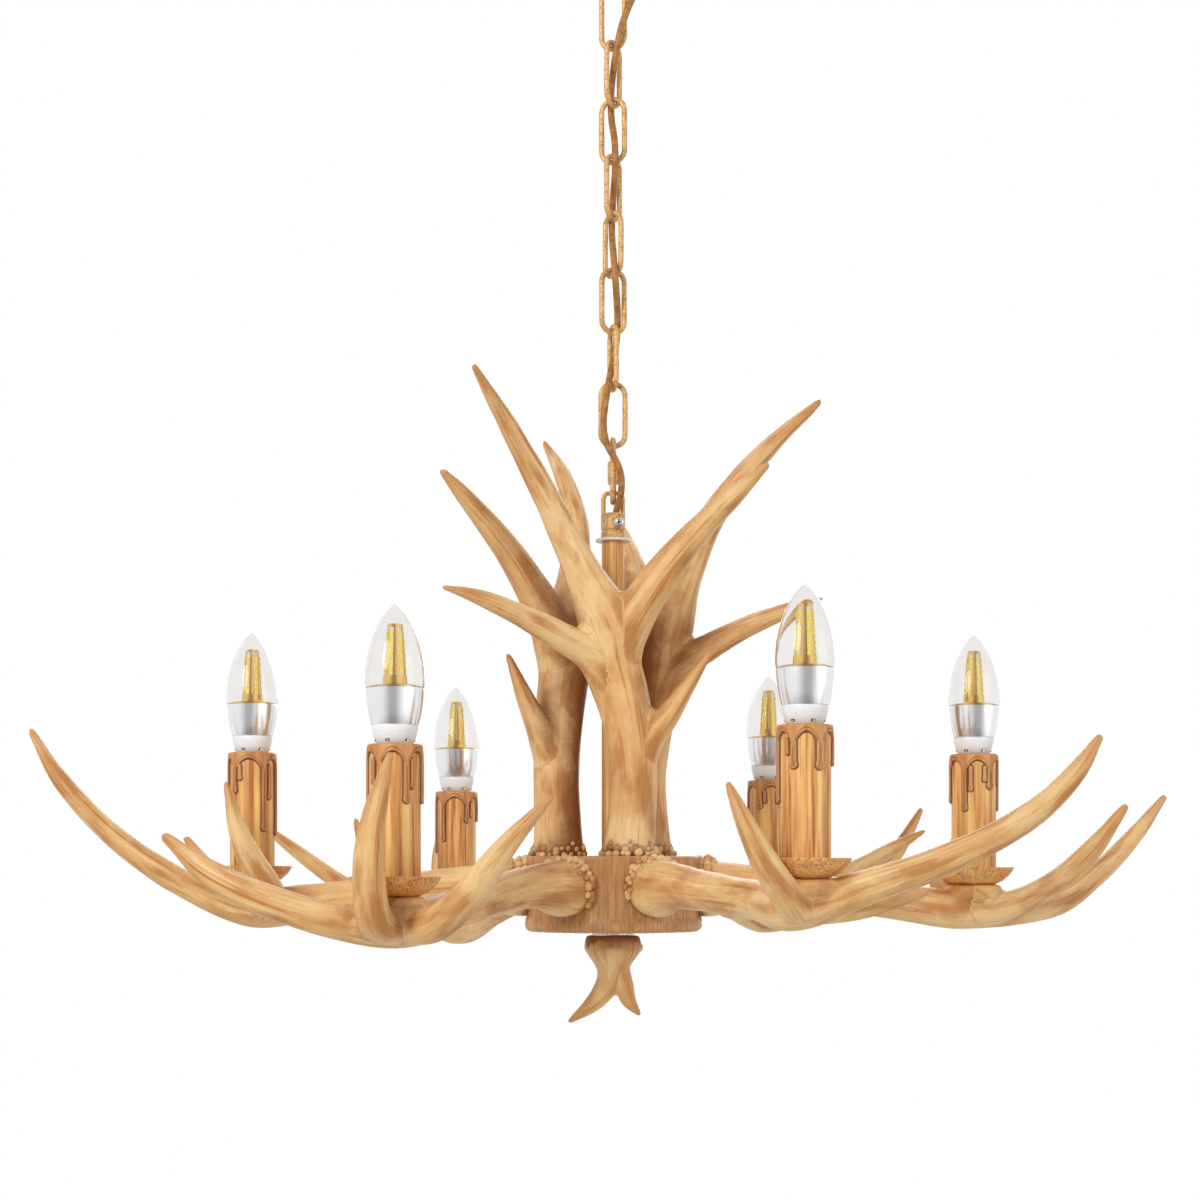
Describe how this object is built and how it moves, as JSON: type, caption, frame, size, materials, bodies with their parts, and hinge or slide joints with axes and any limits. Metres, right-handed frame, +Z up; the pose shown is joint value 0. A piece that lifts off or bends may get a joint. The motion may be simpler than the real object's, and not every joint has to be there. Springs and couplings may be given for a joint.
{
  "type": "antler chandelier",
  "caption": "Hanging lamp of branching cast antlers on a turned hub, with candle lamps on drip pans, upright antlers round a centre tube, and a linked chain with a cord woven through it.",
  "frame": {"origin": "centre of the ceiling screws on the ceiling's face", "axes": "+Z up into the ceiling, -Y towards the viewer of the picture, +X to their right"},
  "size_m": [0.8079, 0.614, 0.8099],
  "materials": {
    "antler_cast": "satin",
    "hub_cast": "satin",
    "candle_cast": "satin",
    "speckled_paint": "speckled satin",
    "zinc_steel": "bright",
    "cover_paint": "satin",
    "white_plastic": "satin",
    "bush_plastic": "satin",
    "cord_cover": "matte",
    "bulb_shell": "polished, with a white housing",
    "clear_glass": "clear"
  },
  "bodies": {
    "ceiling": {"ceiling_canopy": "speckled_paint", "cord_bush": "bush_plastic", "ceiling_bracket": "zinc_steel", "bracket_screws": "zinc_steel", "terminal_block": "white_plastic", "canopy_stem": "speckled_paint", "loop_collar": "speckled_paint", "canopy_loop": "speckled_paint"},
    "link_1": {"chain_link_1": "speckled_paint"},
    "link_2": {"chain_link_2": "speckled_paint"},
    "link_3": {"chain_link_3": "speckled_paint"},
    "link_4": {"chain_link_4": "speckled_paint"},
    "link_5": {"chain_link_5": "speckled_paint"},
    "link_6": {"chain_link_6": "speckled_paint"},
    "link_7": {"chain_link_7": "speckled_paint"},
    "link_8": {"chain_link_8": "speckled_paint"},
    "quick": {"quick_link": "speckled_paint"},
    "quick_sleeve": {"quick_link_sleeve": "speckled_paint"},
    "fixture": {"coupler": "speckled_paint", "coupler_screw": "zinc_steel", "tube_washer": "white_plastic", "centre_tube": "speckled_paint", "hub": "hub_cast", "antler_bolts": "zinc_steel", "hub_cover": "cover_paint", "tube_nuts": "zinc_steel", "finial_ring": "zinc_steel", "finial": "antler_cast", "arm_antler_1": "antler_cast", "arm_antler_2": "antler_cast", "arm_antler_3": "antler_cast", "arm_antler_4": "antler_cast", "arm_antler_5": "antler_cast", "arm_antler_6": "antler_cast", "upright_antler_1": "antler_cast", "upright_antler_2": "antler_cast", "upright_antler_3": "antler_cast", "candle_sleeve_1": "candle_cast", "candle_sleeve_2": "candle_cast", "candle_sleeve_3": "candle_cast", "candle_sleeve_4": "candle_cast", "candle_sleeve_5": "candle_cast", "candle_sleeve_6": "candle_cast", "drip_pans": "candle_cast", "lamp_sockets": "white_plastic", "lamp_studs": "zinc_steel", "power_cord": "cord_cover"},
    "bulb_1": {"bulb_base_1": "bulb_shell", "bulb_glass_1": "clear_glass"},
    "bulb_2": {"bulb_base_2": "bulb_shell", "bulb_glass_2": "clear_glass"},
    "bulb_3": {"bulb_base_3": "bulb_shell", "bulb_glass_3": "clear_glass"},
    "bulb_4": {"bulb_base_4": "bulb_shell", "bulb_glass_4": "clear_glass"},
    "bulb_5": {"bulb_base_5": "bulb_shell", "bulb_glass_5": "clear_glass"},
    "bulb_6": {"bulb_base_6": "bulb_shell", "bulb_glass_6": "clear_glass"}
  },
  "joints": [
    {"name": "loop_to_link_1", "type": "hinge", "parent": "ceiling", "child": "link_1", "pos_m": [0, 0, -0.061], "axis": [0.342, 0.9397, 0], "range_deg": [-6, 6], "deforming": ["power_cord"]},
    {"name": "link_1_to_link_2", "type": "hinge", "parent": "link_1", "child": "link_2", "pos_m": [0, 0, -0.1004], "axis": [0.9397, -0.342, 0], "range_deg": [-6, 6], "deforming": ["power_cord"]},
    {"name": "link_2_to_link_3", "type": "hinge", "parent": "link_2", "child": "link_3", "pos_m": [0, 0, -0.1404], "axis": [0.5299, 0.848, 0], "range_deg": [-6, 6], "deforming": ["power_cord"]},
    {"name": "link_3_to_link_4", "type": "hinge", "parent": "link_3", "child": "link_4", "pos_m": [0, 0, -0.1804], "axis": [0.9397, -0.342, 0], "range_deg": [-6, 6], "deforming": ["power_cord"]},
    {"name": "link_4_to_link_5", "type": "hinge", "parent": "link_4", "child": "link_5", "pos_m": [0, 0, -0.2204], "axis": [0.5299, 0.848, 0], "range_deg": [-6, 6], "deforming": ["power_cord"]},
    {"name": "link_5_to_link_6", "type": "hinge", "parent": "link_5", "child": "link_6", "pos_m": [0, 0, -0.2604], "axis": [0.6428, -0.766, 0], "range_deg": [-6, 6], "deforming": ["power_cord"]},
    {"name": "link_6_to_link_7", "type": "hinge", "parent": "link_6", "child": "link_7", "pos_m": [0, 0, -0.3004], "axis": [0.9272, 0.3746, 0], "range_deg": [-6, 6], "deforming": ["power_cord"]},
    {"name": "link_7_to_link_8", "type": "hinge", "parent": "link_7", "child": "link_8", "pos_m": [0, 0, -0.3404], "axis": [0.2588, -0.9659, 0], "range_deg": [-6, 6], "deforming": ["power_cord"]},
    {"name": "link_8_to_quick_link", "type": "hinge", "parent": "link_8", "child": "quick", "pos_m": [0, 0, -0.3804], "axis": [0.9962, 0.0872, 0], "range_deg": [-6, 6], "deforming": ["power_cord"]},
    {"name": "quick_link_to_fixture", "type": "hinge", "parent": "quick", "child": "fixture", "pos_m": [0, 0, -0.4194], "axis": [0, 1, 0], "range_deg": [-6, 6], "deforming": ["power_cord"]},
    {"name": "sleeve_nut_travel", "type": "slide", "parent": "quick", "child": "quick_sleeve", "axis": [0, 0, 1], "range_m": [0, 0.0055]},
    {"name": "bulb_1_unscrewing", "type": "slide", "parent": "fixture", "child": "bulb_1", "axis": [0, 0, 1], "range_m": [0, 0.028]},
    {"name": "bulb_2_unscrewing", "type": "slide", "parent": "fixture", "child": "bulb_2", "axis": [0, 0, 1], "range_m": [0, 0.028]},
    {"name": "bulb_3_unscrewing", "type": "slide", "parent": "fixture", "child": "bulb_3", "axis": [0, 0, 1], "range_m": [0, 0.028]},
    {"name": "bulb_4_unscrewing", "type": "slide", "parent": "fixture", "child": "bulb_4", "axis": [0, 0, 1], "range_m": [0, 0.028]},
    {"name": "bulb_5_unscrewing", "type": "slide", "parent": "fixture", "child": "bulb_5", "axis": [0, 0, 1], "range_m": [0, 0.028]},
    {"name": "bulb_6_unscrewing", "type": "slide", "parent": "fixture", "child": "bulb_6", "axis": [0, 0, 1], "range_m": [0, 0.028]}
  ]
}
